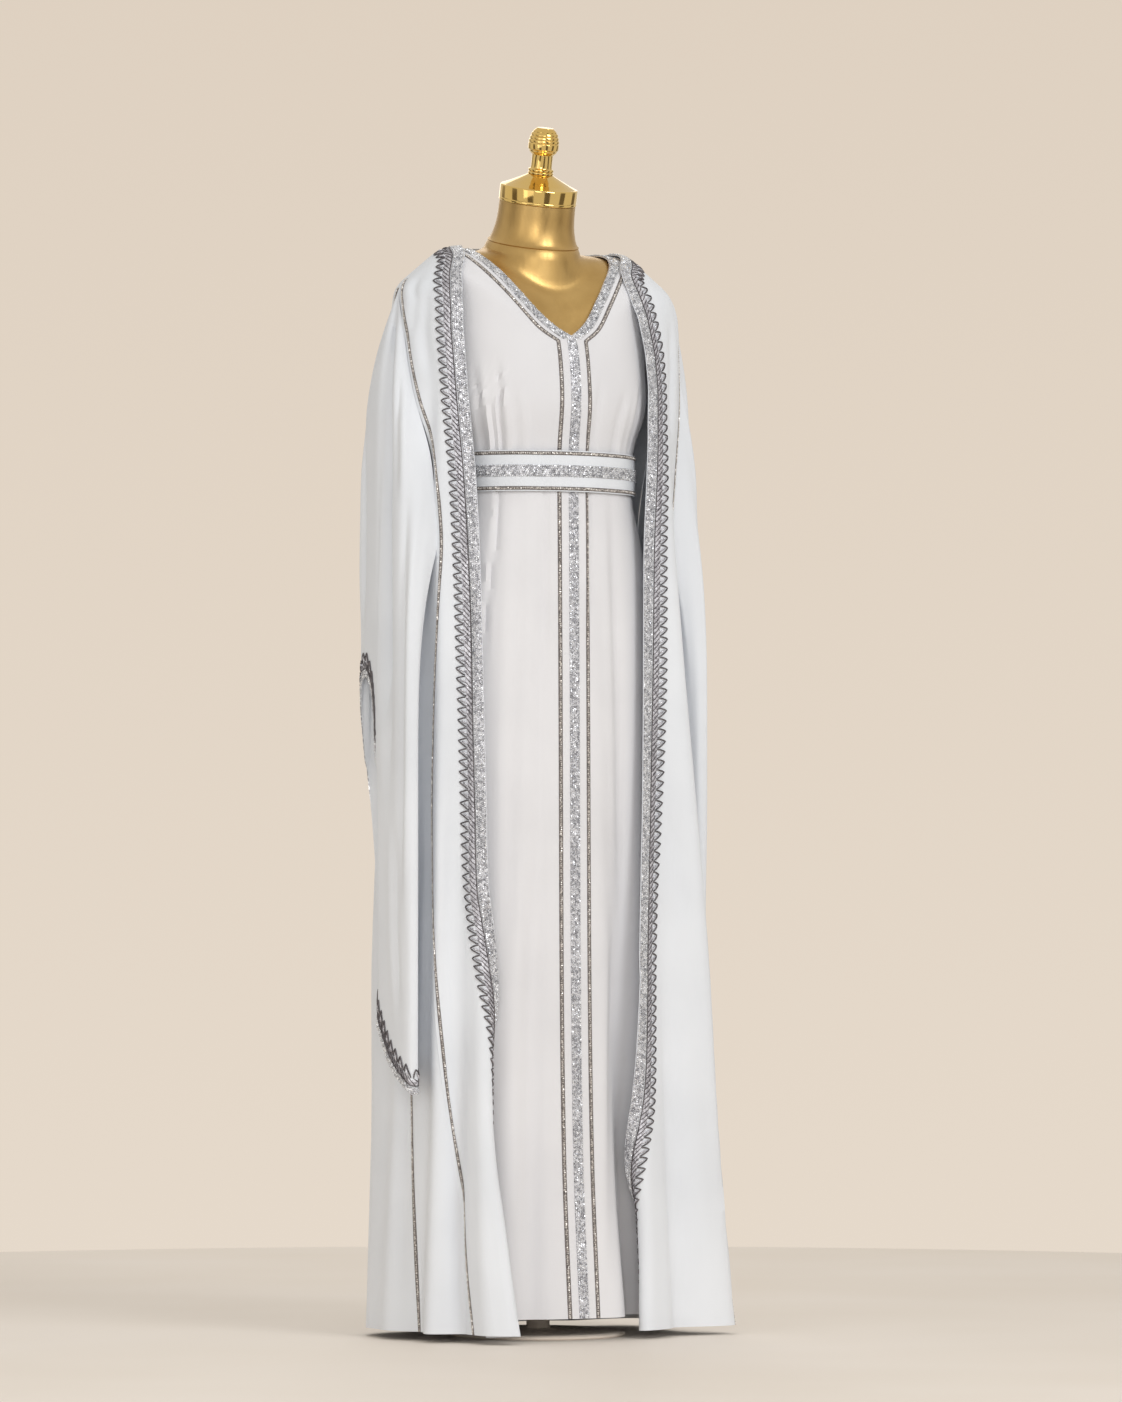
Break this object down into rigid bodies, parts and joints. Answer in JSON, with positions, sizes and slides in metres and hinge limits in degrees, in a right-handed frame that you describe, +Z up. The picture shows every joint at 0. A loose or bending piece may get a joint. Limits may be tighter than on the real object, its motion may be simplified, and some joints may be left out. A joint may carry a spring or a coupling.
{
  "type": "kaftan with open robe on a dress form",
  "caption": "Floor-length white kaftan: a belted dress under an open long-sleeved robe with silver edge braid, shown on a limbless gold dress form.",
  "frame": {"origin": "centre of the underside of the stand's base", "axes": "+Z up, -Y the way the front of the kaftan faces, +X the wearer's left"},
  "size_m": [0.4996, 0.3794, 1.6681],
  "materials": {
    "white_crepe": "matt crepe",
    "silver_rhinestone": "glittering stones on tape",
    "dark_silver_braid": "metal thread braid",
    "narrow_rhinestone": "narrow stone line",
    "satin_gold": "satin gold paint",
    "polished_brass": "polished",
    "cream_steel": "satin paint"
  },
  "bodies": {
    "root": {"dress_front_R": "white_crepe", "dress_front_L": "white_crepe", "dress_back": "white_crepe", "belt_cloth": "white_crepe", "robe_front_R": "white_crepe", "robe_front_L": "white_crepe", "robe_side_R": "white_crepe", "robe_side_L": "white_crepe", "robe_back": "white_crepe", "sleeve_R": "white_crepe", "sleeve_L": "white_crepe", "dress_neck_band": "silver_rhinestone", "dress_centre_band": "silver_rhinestone", "belt_centre_band": "silver_rhinestone", "robe_edge_band_R": "silver_rhinestone", "robe_edge_band_L": "silver_rhinestone", "cuff_band_R": "silver_rhinestone", "cuff_band_L": "silver_rhinestone", "robe_edge_braid_R": "dark_silver_braid", "robe_edge_braid_L": "dark_silver_braid", "cuff_braid_R": "dark_silver_braid", "cuff_braid_L": "dark_silver_braid", "dress_line_R": "narrow_rhinestone", "dress_line_L": "narrow_rhinestone", "belt_line_upper": "narrow_rhinestone", "belt_line_lower": "narrow_rhinestone", "robe_front_line_R": "narrow_rhinestone", "robe_front_line_L": "narrow_rhinestone", "robe_back_line_R": "narrow_rhinestone", "robe_back_line_L": "narrow_rhinestone", "form_torso": "satin_gold", "form_neck_cap": "polished_brass", "form_finial": "polished_brass", "form_pole": "cream_steel", "form_base": "cream_steel"}
  },
  "joints": []
}
